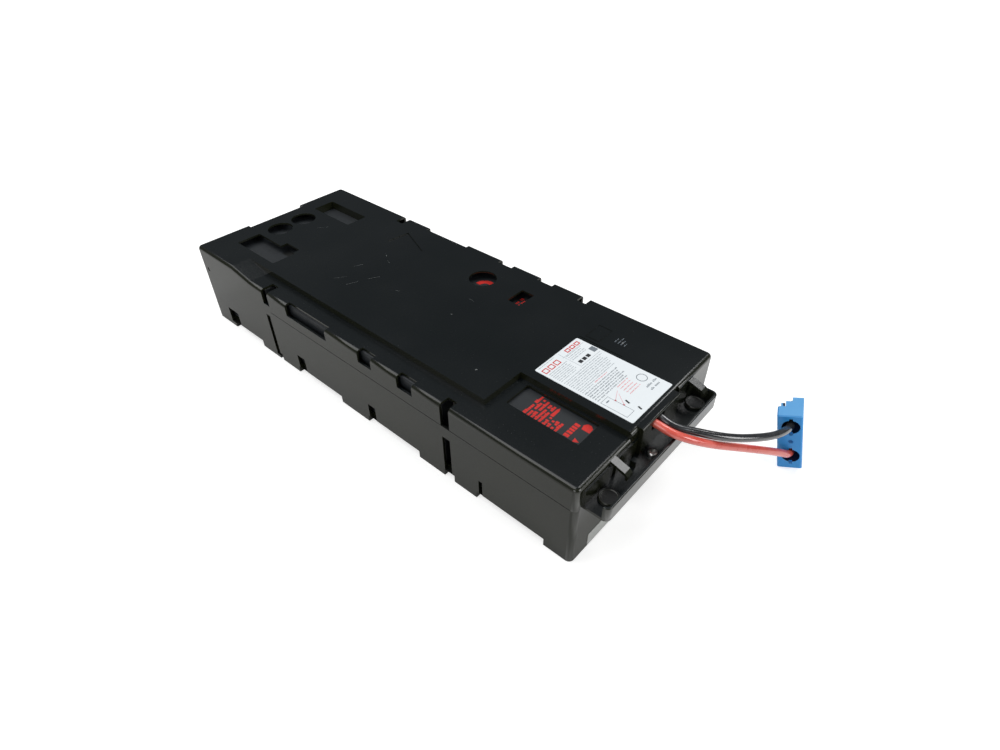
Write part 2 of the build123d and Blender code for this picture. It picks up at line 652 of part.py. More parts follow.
def main():
    """Build every piece and write one file for each."""
    pieces = {
        "bottom_tray": bottom_tray(),
        "top_cover": top_cover(),
        "positive_lug": positive_lug(),
        "negative_lug": negative_lug(),
        "red_lead": lead("red_lead", red_route()),
        "black_lead": lead("black_lead", black_route()),
        "connector_housing": connector_housing(),
        "negative_contact": connector_contact(SOCKET_HEIGHTS[0]),
        "positive_contact": connector_contact(SOCKET_HEIGHTS[1]),
        "trough_rivets": trough_rivets(),
        "trough_screw": trough_screw(),
        "rear_pad": rear_pad(),
        "top_label": top_label(),
        "front_sticker": front_sticker(),
    }
    for number in range(len(TOP_PADS)):
        pieces["top_pad_%d" % (number + 1)] = top_pad(number)
    for number in range(BLOCK_COUNT):
        pieces["battery_block_%d" % (number + 1)] = battery_block(number)
    for number in range(BLOCK_COUNT - 1):
        pieces["link_strap_%d" % (number + 1)] = link_strap(number)
    for name, shape in pieces.items():
        export_step(shape, "parts/%s.step" % name)
    print(len(pieces), "pieces")


main()
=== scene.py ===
"""Battery cartridge dressed for a studio picture: finishes, print, leads, floor, lamps and camera."""
import logging
import math
import random
from dataclasses import dataclass, field
from enum import Enum

import bmesh
import bpy
from mathutils import Matrix, Vector


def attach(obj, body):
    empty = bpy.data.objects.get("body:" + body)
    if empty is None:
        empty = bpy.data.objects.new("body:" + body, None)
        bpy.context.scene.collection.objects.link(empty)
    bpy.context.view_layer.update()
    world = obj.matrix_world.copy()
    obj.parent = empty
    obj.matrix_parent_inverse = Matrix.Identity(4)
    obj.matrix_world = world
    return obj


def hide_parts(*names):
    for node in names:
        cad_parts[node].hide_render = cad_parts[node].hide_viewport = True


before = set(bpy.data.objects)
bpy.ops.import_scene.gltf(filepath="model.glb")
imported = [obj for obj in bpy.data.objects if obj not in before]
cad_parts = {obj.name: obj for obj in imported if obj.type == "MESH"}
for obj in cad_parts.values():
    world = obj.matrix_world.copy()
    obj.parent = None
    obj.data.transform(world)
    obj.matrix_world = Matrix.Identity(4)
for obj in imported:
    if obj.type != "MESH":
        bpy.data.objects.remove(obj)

LOG = logging.getLogger("cartridge")
MM = 0.001
BODY = "root"

TOP_LEVEL = 74.3
LOW_LEVEL = 69.4
BLOCK_TOP = 66.8
FRONT = -200.3

PLASTIC_INDEX = 1.5
WELD_REACH = 0.00002
SHARP_ANGLE = 40.0

FIRST_GROUP = (3, 8)
NEXT_GROUP = (2, 9)
BLOCK_STEP = (0.55, 0.85)
BLOCK_HEIGHTS = (0.72, 0.72, 1.0)

Colour = tuple[float, float, float]
Place = tuple[float, float, float]
Point = tuple[float, float]
Span = tuple[float, float]


class Slot(Enum):
    """Material slots of the record, which new pieces carry alongside the finish they are given."""

    BLOCK = "block_plastic"
    RED_LEAD = "red_insulation"
    BLACK_LEAD = "black_insulation"
    CONNECTOR = "connector_plastic"
    LABEL = "label_paper"
    STICKER = "sticker_paper"
    COVER = "cover_plastic"
    RIVET = "rivet_plastic"


class Ink(Enum):
    """Inks of the print, as linear colours."""

    RED = (0.66, 0.022, 0.016)
    ROSE = (0.80, 0.25, 0.28)
    GREY = (0.19, 0.22, 0.25)
    PALE_GREY = (0.36, 0.40, 0.43)
    BLACK = (0.022, 0.024, 0.028)


class Value:
    """One output of a shader tree; the operators add the nodes that work the sum out."""

    def __init__(self, tree: "FinishTree", socket: bpy.types.NodeSocket) -> None:
        """Keeps the tree and the socket together."""
        self.tree = tree
        self.socket = socket

    def _sum(self, operation: str, first: object, second: object) -> "Value":
        """Adds one Math node.

        Args:
            operation: what the node works out.
            first: its first number or value.
            second: its second number or value.

        Returns:
            The node's result.
        """
        return self.tree.node("ShaderNodeMath", {"operation": operation}, {0: first, 1: second})

    def __add__(self, other: object) -> "Value":
        """This value plus another."""
        return self._sum("ADD", self, other)

    __radd__ = __add__

    def __sub__(self, other: object) -> "Value":
        """This value less another."""
        return self._sum("SUBTRACT", self, other)

    def __rsub__(self, other: object) -> "Value":
        """A number less this value."""
        return self._sum("SUBTRACT", other, self)

    def __mul__(self, other: object) -> "Value":
        """This value times another."""
        return self._sum("MULTIPLY", self, other)

    __rmul__ = __mul__

    def __gt__(self, other: object) -> "Value":
        """1 where this value is the larger one."""
        return self._sum("GREATER_THAN", self, other)

    def __lt__(self, other: object) -> "Value":
        """1 where this value is the smaller one."""
        return self._sum("LESS_THAN", self, other)

    def __abs__(self) -> "Value":
        """This value without its sign."""
        return self.tree.node("ShaderNodeMath", {"operation": "ABSOLUTE"}, {0: self})

    def either(self, other: object) -> "Value":
        """The larger of two masks."""
        return self._sum("MAXIMUM", self, other)


class FinishTree:
    """Node tree of one material, with short ways to make its nodes."""

    def __init__(self, name: str) -> None:
        """Starts a material with a Principled shader.

        Args:
            name: the material's name.
        """
        self.material = bpy.data.materials.new(name)
        self.material.use_nodes = True
        self.tree = self.material.node_tree
        self.tree.nodes.clear()
        self.surface = self.tree.nodes.new("ShaderNodeBsdfPrincipled")
        self.output = self.tree.nodes.new("ShaderNodeOutputMaterial")
        self.tree.links.new(self.surface.outputs[0], self.output.inputs[0])

    def node(
        self,
        kind: str,
        settings: dict[str, object],
        inputs: dict[str | int, object],
        output: str | int = 0,
    ) -> Value:
        """Adds one node.

        Args:
            kind: the node's type.
            settings: its settings, which are set first.
            inputs: numbers, colours or values for its sockets, by name or place.
            output: the name or place of the output to give back.

        Returns:
            The chosen output.
        """
        made = self.tree.nodes.new(kind)
        for key, setting in settings.items():
            setattr(made, key, setting)
        for key, value in inputs.items():
            self._feed(made.inputs[key], value)
        return Value(self, made.outputs[output])

    def _feed(self, socket: bpy.types.NodeSocket, value: object) -> None:
        """Links a value to a socket, or writes a number or colour on it."""
        if isinstance(value, Value):
            self.tree.links.new(value.socket, socket)
        elif isinstance(value, tuple) and len(value) == 3 and socket.type == "RGBA":
            socket.default_value = (*value, 1.0)
        else:
            socket.default_value = value

    def set(self, **inputs: object) -> None:
        """Feeds the Principled shader's sockets, with _ for a space in a name."""
        for key, value in inputs.items():
            self._feed(self.surface.inputs[key.replace("_", " ")], value)

    def place(self) -> Value:
        """The point on the part, in metres, as a vector."""
        return self.node("ShaderNodeTexCoord", {}, {}, "Object")

    def axes(self, vector: Value) -> tuple[Value, Value, Value]:
        """A vector's three parts.

        Args:
            vector: the vector.

        Returns:
            Its x, y and z.
        """
        x = self.node("ShaderNodeSeparateXYZ", {}, {0: vector}, 0)
        made = x.socket.node
        return x, Value(self, made.outputs[1]), Value(self, made.outputs[2])

    def noise(self, vector: Value, scale: float, detail: float, roughness: float) -> Value:
        """Smooth noise from 0 to 1.

        Args:
            vector: the point it is read at.
            scale: how many features there are to a metre.
            detail: how many finer layers are added.
            roughness: how strong they are.

        Returns:
            The noise.
        """
        inputs = {"Vector": vector, "Scale": scale, "Detail": detail, "Roughness": roughness}
        return self.node("ShaderNodeTexNoise", {}, inputs)

    def stretched(self, vector: Value, scale: Place, turn: float = 0.0) -> Value:
        """The vector turned about Z and scaled on each axis."""
        inputs = {"Vector": vector, "Rotation": (0.0, 0.0, turn), "Scale": scale}
        return self.node("ShaderNodeMapping", {}, inputs)

    def between(self, value: Value, low: float, high: float) -> Value:
        """0 up to low, 1 from high on, and smooth between."""
        settings = {"interpolation_type": "SMOOTHSTEP", "clamp": True}
        inputs = {"Value": value, "From Min": low, "From Max": high, "To Min": 0.0, "To Max": 1.0}
        return self.node("ShaderNodeMapRange", settings, inputs)

    def mix(self, factor: object, first: object, second: object) -> Value:
        """A blend of two colours.

        Args:
            factor: 0 for the first colour and 1 for the second.
            first: the first colour.
            second: the second colour.

        Returns:
            The blend.
        """
        settings = {"data_type": "RGBA", "blend_type": "MIX"}
        return self.node("ShaderNodeMix", settings, {0: factor, 6: first, 7: second}, 2)

    def bump(self, height: Value, strength: float, distance: float) -> Value:
        """A normal from a height.

        Args:
            height: the height, from 0 to 1.
            strength: how much of it shows.
            distance: what a height of 1 stands for, in metres.

        Returns:
            The normal.
        """
        inputs = {"Height": height, "Strength": strength, "Distance": distance}
        return self.node("ShaderNodeBump", {}, inputs)

    def upward(self, tops: Span) -> Value:
        """1 on faces that look up.

        Args:
            tops: the upward part of the normal where the mask starts and is full.

        Returns:
            The mask.
        """
        normal = self.node("ShaderNodeNewGeometry", {}, {}, "True Normal")
        return self.between(self.axes(normal)[2], tops[0], tops[1])

    def box_mask(self, axes: tuple[Value, Value, Value], low: Place, high: Place) -> Value:
        """1 inside an upright box and 0 outside.

        Args:
            axes: the point's x, y and z in metres.
            low: the box's lowest corner in millimetres.
            high: its highest corner.

        Returns:
            The mask.
        """
        mask = None
        for axis, first, last in zip(axes, low, high):
            inside = (axis > first * MM) * (axis < last * MM)
            mask = inside if mask is None else mask * inside
        return mask


def shade(colour: Colour, gain: float) -> Colour:
    """A colour made paler or darker by one factor."""
    return tuple(part * gain for part in colour)


@dataclass(frozen=True)
class Pattern:
    """Smooth noise over a part, with the range of it that makes a mask."""

    scale: float
    detail: float = 2.0
    roughness: float = 0.5
    low: float = 0.0
    high: float = 1.0

    def read(self, tree: FinishTree, place: Value) -> Value:
        """The noise at a place, from 0 to 1."""
        return tree.noise(place, self.scale, self.detail, self.roughness)

    def mask(self, noise: Value) -> Value:
        """0 below the range, 1 above it, and smooth between."""
        return noise.tree.between(noise, self.low, self.high)


@dataclass(frozen=True)
class Relief(Pattern):
    """Noise that also stands for a fine height, in metres."""

    strength: float = 0.2
    depth: float = 0.0001

    def normal(self, noise: Value) -> Value:
        """The normal of the height."""
        return noise.tree.bump(noise, self.strength, self.depth)


@dataclass(frozen=True)
class Scratch:
    """Fine scratch on the top of the cover, in millimetres."""

    start: Point
    end: Point
    width: float = 0.22

    def mask(self, x: Value, y: Value) -> Value:
        """1 on the scratch.

        Args:
            x: the point's x in metres.
            y: the point's y in metres.

        Returns:
            The mask.
        """
        along = Vector(self.end) - Vector(self.start)
        angle = math.atan2(along.y, along.x)
        middle = (Vector(self.start) + Vector(self.end)) * 0.5 * MM
        dx, dy = x - middle.x, y - middle.y
        lengthwise = dx * math.cos(angle) + dy * math.sin(angle)
        across = dy * math.cos(angle) - dx * math.sin(angle)
        return (abs(lengthwise) < along.length / 2 * MM) * (abs(across) < self.width / 2 * MM)


@dataclass(frozen=True)
class ShellFinish:
    """Glossy black moulded plastic with a fine grain, and with scratches on its tops; its sides carry
    a paler, warmer painted reflection.
    """

    name: str
    colour: Colour = (0.0045, 0.0066, 0.0074)
    # Painted reflection: the paler, warmer colour given to the side faces.
    lit_side_colour: Colour = (0.012, 0.0135, 0.0065)
    cloud_colour: Colour = (0.010, 0.012, 0.013)
    dust_colour: Colour = (0.30, 0.31, 0.31)
    worn_colour: Colour = (0.24, 0.25, 0.25)
    roughness: float = 0.17
    top_roughness: float = 0.21
    tops: Span = (0.90, 0.97)
    clouds: Pattern = Pattern(14.0, 3.0, low=0.35, high=0.75)
    cloud_share: float = 0.35
    cloud_roughness: float = 0.06
    dust: Pattern = Pattern(900.0, 1.0, low=0.77, high=0.80)
    dust_share: float = 0.05
    dust_roughness: float = 0.15
    rubbing: Pattern = Pattern(1.0, 1.0, low=0.66, high=0.74)
    rub_stretch: Place = (60.0, 900.0, 60.0)
    rub_turn: float = 0.5
    rub_roughness: float = 0.02
    scratches: tuple[Scratch, ...] = ()
    wear: Pattern = Pattern(700.0, 1.0, low=0.30, high=0.62)
    worn_share: float = 0.8
    worn_roughness: float = 0.3
    grain: Relief = Relief(5200.0, 2.0, 0.6, strength=0.22, depth=0.00006)

    def build(self) -> bpy.types.Material:
        """Makes the material.

        Returns:
            The material.
        """
        tree = FinishTree(self.name)
        place = tree.place()
        upward = tree.upward(self.tops)
        cloudy = self.clouds.read(tree, place)
        dust = self.dust.mask(self.dust.read(tree, place))
        rub = self.rubbing.read(tree, tree.stretched(place, self.rub_stretch, self.rub_turn))
        # Sides get a paler, warmer colour than the tops: painted reflection standing in for the light
        # the side faces mirror.
        colour = tree.mix(upward, self.lit_side_colour, self.colour)
        colour = tree.mix(self.clouds.mask(cloudy) * self.cloud_share, colour, self.cloud_colour)
        colour = tree.mix(dust * self.dust_share, colour, self.dust_colour)
        rough = upward * (self.top_roughness - self.roughness) + self.roughness
        rough = rough + cloudy * self.cloud_roughness + dust * self.dust_roughness
        rough = rough + self.rubbing.mask(rub) * self.rub_roughness
        if self.scratches:
            marks = self._marks(tree.axes(place))
            worn = self.wear.mask(self.wear.read(tree, place))
            colour = tree.mix(marks * worn * self.worn_share, colour, self.worn_colour)
            rough = rough + marks * self.worn_roughness
        tree.set(
            Base_Color=colour,
            Roughness=rough,
            IOR=PLASTIC_INDEX,
            Normal=self.grain.normal(self.grain.read(tree, place)),
        )
        return tree.material

    def _marks(self, axes: tuple[Value, Value, Value]) -> Value:
        """1 on the scratches, above the level of the low top.

        Args:
            axes: the point's x, y and z in metres.

        Returns:
            The mask.
        """
        marks = None
        for scratch in self.scratches:
            mask = scratch.mask(axes[0], axes[1])
            marks = mask if marks is None else marks.either(mask)
        return marks * (axes[2] > (LOW_LEVEL - 1) * MM)


@dataclass(frozen=True)
class BlockFinish:
    """Satin dark grey case of the sealed blocks, with a painted shadow on the block top in the deep
    side of a window.
    """

    name: str = "block_case"
    colour: Colour = (0.013, 0.016, 0.019)
    roughness: float = 0.48
    clouds: Pattern = Pattern(30.0, 3.0)
    cloud_share: float = 0.5
    cloud_gain: float = 1.5
    cloud_roughness: float = 0.1
    # Painted shadow: a box on the block top beside the left back window, coloured almost black.
    painted_shade_low: Place = (-31.6, 141.0, 60.0)
    painted_shade_high: Place = (-24.4, 160.5, 68.0)
    painted_shade_colour: Colour = (0.002, 0.003, 0.003)
    grain: Relief = Relief(2600.0, strength=0.3, depth=0.00008)

    def build(self) -> bpy.types.Material:
        """Makes the material."""
        tree = FinishTree(self.name)
        place = tree.place()
        cloudy = self.clouds.read(tree, place)
        # Painted shade: the block top inside this box is darkened for the shadow there.
        painted_shade = tree.box_mask(tree.axes(place), self.painted_shade_low, self.painted_shade_high)
        pale = shade(self.colour, self.cloud_gain)
        colour = tree.mix(cloudy * self.cloud_share, self.colour, pale)
        tree.set(
            Base_Color=tree.mix(painted_shade, colour, self.painted_shade_colour),
            Roughness=cloudy * self.cloud_roughness + self.roughness,
            IOR=PLASTIC_INDEX,
            Normal=self.grain.normal(self.grain.read(tree, place)),
        )
        return tree.material


@dataclass(frozen=True)
class LeadFinish:
    """Smooth glossy insulation of a lead."""

    name: str
    colour: Colour
    pale: Colour
    roughness: float = 0.24
    index: float = 1.55
    gloss: float = 0.6
    gloss_roughness: float = 0.05
    clouds: Pattern = Pattern(90.0, 3.0, low=0.3, high=0.8)
    cloud_roughness: float = 0.08
    ripple: Relief = Relief(160.0, strength=0.2, depth=0.0004)
    ripple_stretch: Place = (1.0, 1.0, 3.0)

    def build(self) -> bpy.types.Material:
        """Makes the material."""
        tree = FinishTree(self.name)
        place = tree.place()
        cloudy = self.clouds.read(tree, place)
        ripple = self.ripple.read(tree, tree.stretched(place, self.ripple_stretch))
        tree.set(
            Base_Color=tree.mix(self.clouds.mask(cloudy), self.colour, self.pale),
            Roughness=cloudy * self.cloud_roughness + self.roughness,
            IOR=self.index,
            Coat_Weight=self.gloss,
            Coat_Roughness=self.gloss_roughness,
            Normal=self.ripple.normal(ripple),
        )
        return tree.material


@dataclass(frozen=True)
class ConnectorFinish:
    """Satin blue connector plastic, with painted light on its upward faces and painted shade inside
    the two wire funnels.
    """

    name: str = "connector_blue"
    colour: Colour = (0.028, 0.300, 0.760)
    cloud_colour: Colour = (0.055, 0.37, 0.82)
    # Painted light on the upward faces, and painted shade inside the funnels.
    lit_top_colour: Colour = (0.22, 0.50, 0.80)
    socket_shade_colour: Colour = (0.003, 0.016, 0.055)
    roughness: float = 0.36
    clouds: Pattern = Pattern(120.0, 3.0)
    cloud_share: float = 0.4
    cloud_roughness: float = 0.12
    tops: Span = (0.55, 0.85)
    lit_top_share: float = 0.55
    grain: Relief = Relief(3400.0, 2.0, 0.6, strength=0.2, depth=0.00006)
    corner: Place = (83.8, -265.2, 0.0)
    turn: float = -69.9
    lean: float = 14.6
    socket_offset: float = 8.8
    socket_heights: Span = (39.2, 12.4)
    socket_radius: float = 6.15
    socket_start: float = 0.4

    def build(self) -> bpy.types.Material:
        """Makes the material."""
        tree = FinishTree(self.name)
        place = tree.place()
        cloudy = self.clouds.read(tree, place)
        colour = tree.mix(cloudy * self.cloud_share, self.colour, self.cloud_colour)
        # Painted light: faces that look up are mixed toward a paler blue, as if lit from above.
        colour = tree.mix(tree.upward(self.tops) * self.lit_top_share, colour, self.lit_top_colour)
        # Painted shade: the inside of each wire funnel is coloured dark navy.
        colour = tree.mix(self._socket_shade_mask(tree.axes(place)), colour, self.socket_shade_colour)
        tree.set(
            Base_Color=colour,
            Roughness=cloudy * self.cloud_roughness + self.roughness,
            IOR=PLASTIC_INDEX,
            Normal=self.grain.normal(self.grain.read(tree, place)),
        )
        return tree.material

    def _socket_shade_mask(self, axes: tuple[Value, Value, Value]) -> Value:
        """1 inside the two wire funnels, where the painted shade goes, worked out in the housing's
        own axes.

        Args:
            axes: the point's x, y and z in metres.

        Returns:
            The mask.
        """
        turn, lean = math.radians(self.turn), math.radians(self.lean)
        along = (math.cos(turn) * math.cos(lean), math.sin(turn) * math.cos(lean), math.sin(lean))
        deep = (-math.sin(turn), math.cos(turn), 0.0)
        rise = (-math.cos(turn) * math.sin(lean), -math.sin(turn) * math.sin(lean), math.cos(lean))
        offset = [part - start * MM for part, start in zip(axes, self.corner)]
        thick, depth, height = (
            offset[0] * way[0] + offset[1] * way[1] + offset[2] * way[2]
            for way in (along, deep, rise)
        )
        side = thick - self.socket_offset * MM
        inside = None
        for level in self.socket_heights:
            drop = height - level * MM
            near = side * side + drop * drop < (self.socket_radius * MM) ** 2
            inside = near if inside is None else inside.either(near)
        return inside * (depth > self.socket_start * MM)


@dataclass(frozen=True)
class MetalFinish:
    """Plated metal of screws, straps and contacts."""

    name: str
    colour: Colour
    roughness: float = 0.28
    brushing: Relief = Relief(700.0, strength=0.15, depth=0.00005)
    brush_stretch: Place = (1.0, 14.0, 1.0)
    brush_share: float = 0.4
    brush_gain: float = 0.6
    brush_roughness: float = 0.22

    def build(self) -> bpy.types.Material:
        """Makes the material."""
        tree = FinishTree(self.name)
        brushed = self.brushing.read(tree, tree.stretched(tree.place(), self.brush_stretch))
        dark = shade(self.colour, self.brush_gain)
        tree.set(
            Base_Color=tree.mix(brushed * self.brush_share, self.colour, dark),
            Metallic=1.0,
            Roughness=brushed * self.brush_roughness + self.roughness,
            Normal=self.brushing.normal(brushed),
        )
        return tree.material


@dataclass(frozen=True)
class FoamFinish:
    """Open foam of the pads inside."""

    name: str = "pad_foam"
    colour: Colour = (0.03, 0.03, 0.032)
    roughness: float = 0.95
    cell_scale: float = 1400.0
    cell_gain: float = 2.0
    cell_strength: float = 0.6
    cell_depth: float = 0.0004

    def build(self) -> bpy.types.Material:
        """Makes the material."""
        tree = FinishTree(self.name)
        inputs = {"Vector": tree.place(), "Scale": self.cell_scale}
        cells = tree.node("ShaderNodeTexVoronoi", {}, inputs)
        tree.set(
            Base_Color=tree.mix(cells, self.colour, shade(self.colour, self.cell_gain)),
            Roughness=self.roughness,
            Normal=tree.bump(cells, self.cell_strength, self.cell_depth),
        )
        return tree.material


@dataclass(frozen=True)
class PaperFinish:
    """Coated paper of a sticker."""

    name: str
    colour: Colour
    shaded: Colour
    roughness: float = 0.32
    index: float = 1.45
    clouds: Pattern = Pattern(45.0, 3.0, low=0.3, high=0.8)
    cloud_share: float = 0.5
    fibre: Relief = Relief(2400.0, strength=0.12, depth=0.00004)
    fibre_roughness: float = 0.08

    def build(self) -> bpy.types.Material:
        """Makes the material."""
        tree = FinishTree(self.name)
        place = tree.place()
        cloudy = self.clouds.mask(self.clouds.read(tree, place))
        fibre = self.fibre.read(tree, place)
        tree.set(
            Base_Color=tree.mix(cloudy * self.cloud_share, self.colour, self.shaded),
            Roughness=fibre * self.fibre_roughness + self.roughness,
            IOR=self.index,
            Normal=self.fibre.normal(fibre),
        )
        return tree.material


@dataclass(frozen=True)
class InkFinish:
    """Print of one ink, a little uneven."""

    ink: Ink
    roughness: float = 0.45
    wear: Pattern = Pattern(1500.0, low=0.35, high=0.7)
    wear_share: float = 0.6
    wear_gain: float = 0.72
    wear_roughness: float = 0.1

    def build(self) -> bpy.types.Material:
        """Makes the material."""
        tree = FinishTree("ink_%s" % self.ink.name.lower())
        worn = self.wear.read(tree, tree.place())
        faded = shade(self.ink.value, self.wear_gain)
        tree.set(
            Base_Color=tree.mix(self.wear.mask(worn) * self.wear_share, self.ink.value, faded),
            Roughness=worn * self.wear_roughness + self.roughness,
        )
        return tree.material


def add_piece(
    name: str, work: bmesh.types.BMesh, material: bpy.types.Material
) -> bpy.types.Object:
    """Makes a piece that rides the part out of a finished mesh.

    Args:
        name: the piece's name.
        work: the mesh, which is freed.
        material: its finish.

    Returns:
        The piece.
    """
    mesh = bpy.data.meshes.new(name)
    work.to_mesh(mesh)
    work.free()
    mesh.materials.append(material)
    piece = bpy.data.objects.new(name, mesh)
    bpy.context.scene.collection.objects.link(piece)
    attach(piece, BODY)
    return piece


@dataclass
class FlatShapes:
    """Flat shapes of one thickness on one level, such as print or a plate, in millimetres."""

    name: str
    level: float
    slot: Slot
    thickness: float
    shapes: list[list[Point]] = field(default_factory=list)

    def area(self, points: list[Point]) -> None:
        """Adds one filled outline."""
        self.shapes.append(points)

    def bar(self, x: Span, y: Span) -> None:
        """Adds an upright rectangle."""
        self.area([(x[0], y[0]), (x[1], y[0]), (x[1], y[1]), (x[0], y[1])])

    def line(self, start: Point, end: Point, width: float) -> None:
        """Adds a straight stroke.

        Args:
            start: its first point.
            end: its last point.
            width: its width.
        """
        first, last = Vector(start), Vector(end)
        along = (last - first).normalized()
        aside = Vector((-along.y, along.x)) * width / 2
        corners = (first - aside, last - aside, last + aside, first + aside)
        self.area([tuple(corner) for corner in corners])

    def frame(self, x: Span, y: Span, width: float) -> None:
        """Adds a thin rectangular outline."""
        self.bar(x, (y[0], y[0] + width))
        self.bar(x, (y[1] - width, y[1]))
        self.bar((x[0], x[0] + width), (y[0] + width, y[1] - width))
        self.bar((x[1] - width, x[1]), (y[0] + width, y[1] - width))

    def disc(self, centre: Point, radius: float, sides: int = 24) -> None:
        """Adds a filled circle."""
        turns = [2 * math.pi * n / sides for n in range(sides)]
        self.area(
            [(centre[0] + radius * math.cos(t), centre[1] + radius * math.sin(t)) for t in turns]
        )

    def arc(self, centre: Point, reach: Span, turns: list[float]) -> None:
        """Adds a band along a circle, as short pieces that meet.

        Args:
            centre: the circle's centre.
            reach: the band's outer and inner radius.
            turns: the angles at the ends of the pieces, in radians.
        """
        outer, inner = reach
        for turn, following in zip(turns, turns[1:]):
            corners = ((turn, outer), (following, outer), (following, inner), (turn, inner))
            self.area(
                [
                    (centre[0] + radius * math.cos(angle), centre[1] + radius * math.sin(angle))
                    for angle, radius in corners
                ]
            )

    def ring(self, centre: Point, radius: float, width: float, sides: int = 32) -> None:
        """Adds a thin circle."""
        turns = [2 * math.pi * n / sides for n in range(sides)]
        self.arc(centre, (radius, radius - width), turns + turns[:1])

    def row(
        self, x: Span, y: float, height: float, draw: random.Random, bold: float = 0.62
    ) -> None:
        """Adds a row of small blocks in groups, which stands for a line of small print.

        Args:
            x: where the row starts and ends.
            y: its middle.
            height: the blocks' height.
            draw: the source of the random widths.
            bold: the share of a block's step that the block fills.
        """
        place = x[0]
        left = draw.randint(*FIRST_GROUP)
        while place < x[1] - height * 0.5:
            step = height * draw.uniform(*BLOCK_STEP)
            if left:
                tall = height * draw.choice(BLOCK_HEIGHTS)
                self.bar((place, place + step * bold), (y - height / 2, y - height / 2 + tall))
                left -= 1
            else:
                left = draw.randint(*NEXT_GROUP)
            place += step

    def build(self, material: bpy.types.Material) -> bpy.types.Object:
        """Makes one closed slab of each shape.

        Args:
            material: their finish.

        Returns:
            The piece.
        """
        work = bmesh.new()
        low = self.level * MM
        high = (self.level + self.thickness) * MM
        for shape in self.shapes:
            bottom = [work.verts.new((x * MM, y * MM, low)) for x, y in shape]
            top = [work.verts.new((x * MM, y * MM, high)) for x, y in shape]
            work.faces.new(bottom[::-1])
            work.faces.new(top)
            for n in range(len(shape)):
                after = (n + 1) % len(shape)
                work.faces.new((bottom[n], bottom[after], top[after], top[n]))
        bmesh.ops.recalc_face_normals(work, faces=work.faces)
        LOG.info("%s: %d shapes", self.name, len(self.shapes))
        return add_piece(self.name, work, material)


def dress(names: list[str], material: bpy.types.Material) -> None:
    """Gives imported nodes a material.

    Args:
        names: the nodes.
        material: what they get.
    """
    for name in names:
        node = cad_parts[name]
        for slot in node.material_slots:
            slot.material = material
        LOG.info("%s: %s", name, material.name)


def soften(name: str, width: float) -> None:
    """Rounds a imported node's sharp edges a little.

    Args:
        name: the node.
        width: the width of the rounding, in millimetres.
    """
    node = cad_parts[name]
    weld = node.modifiers.new("weld", "WELD")
    weld.merge_threshold = WELD_REACH
    bevel = node.modifiers.new("edges", "BEVEL")
    bevel.width = width * MM
    bevel.segments = 2
    bevel.limit_method = "ANGLE"
    bevel.angle_limit = math.radians(SHARP_ANGLE)
    bevel.use_clamp_overlap = True
    bevel.harden_normals = True


SCRATCHES = (
    Scratch((-10.5, 83.3), (-3.2, 79.6)),
    Scratch((-16.1, 58.8), (-7.2, 54.3)),
    Scratch((-33.0, 65.4), (-23.7, 61.7)),
    Scratch((-33.8, 81.1), (-24.9, 74.6), 0.14),
    Scratch((14.1, 68.9), (12.4, 64.9)),
    Scratch((19.5, 77.2), (18.4, 75.2), 0.4),
    Scratch((-12.3, 28.9), (-10.9, 25.2)),
    Scratch((10.8, 163.4), (18.9, 157.4), 0.12),
    Scratch((-43.2, -87.0), (-41.8, -87.6), 1.1),
    Scratch((-7.2, -28.0), (-6.2, -29.2), 0.7),
    Scratch((17.5, -23.4), (16.7, -29.5), 0.12),
    Scratch((46.9, -146.2), (48.9, -146.0), 1.3),
)


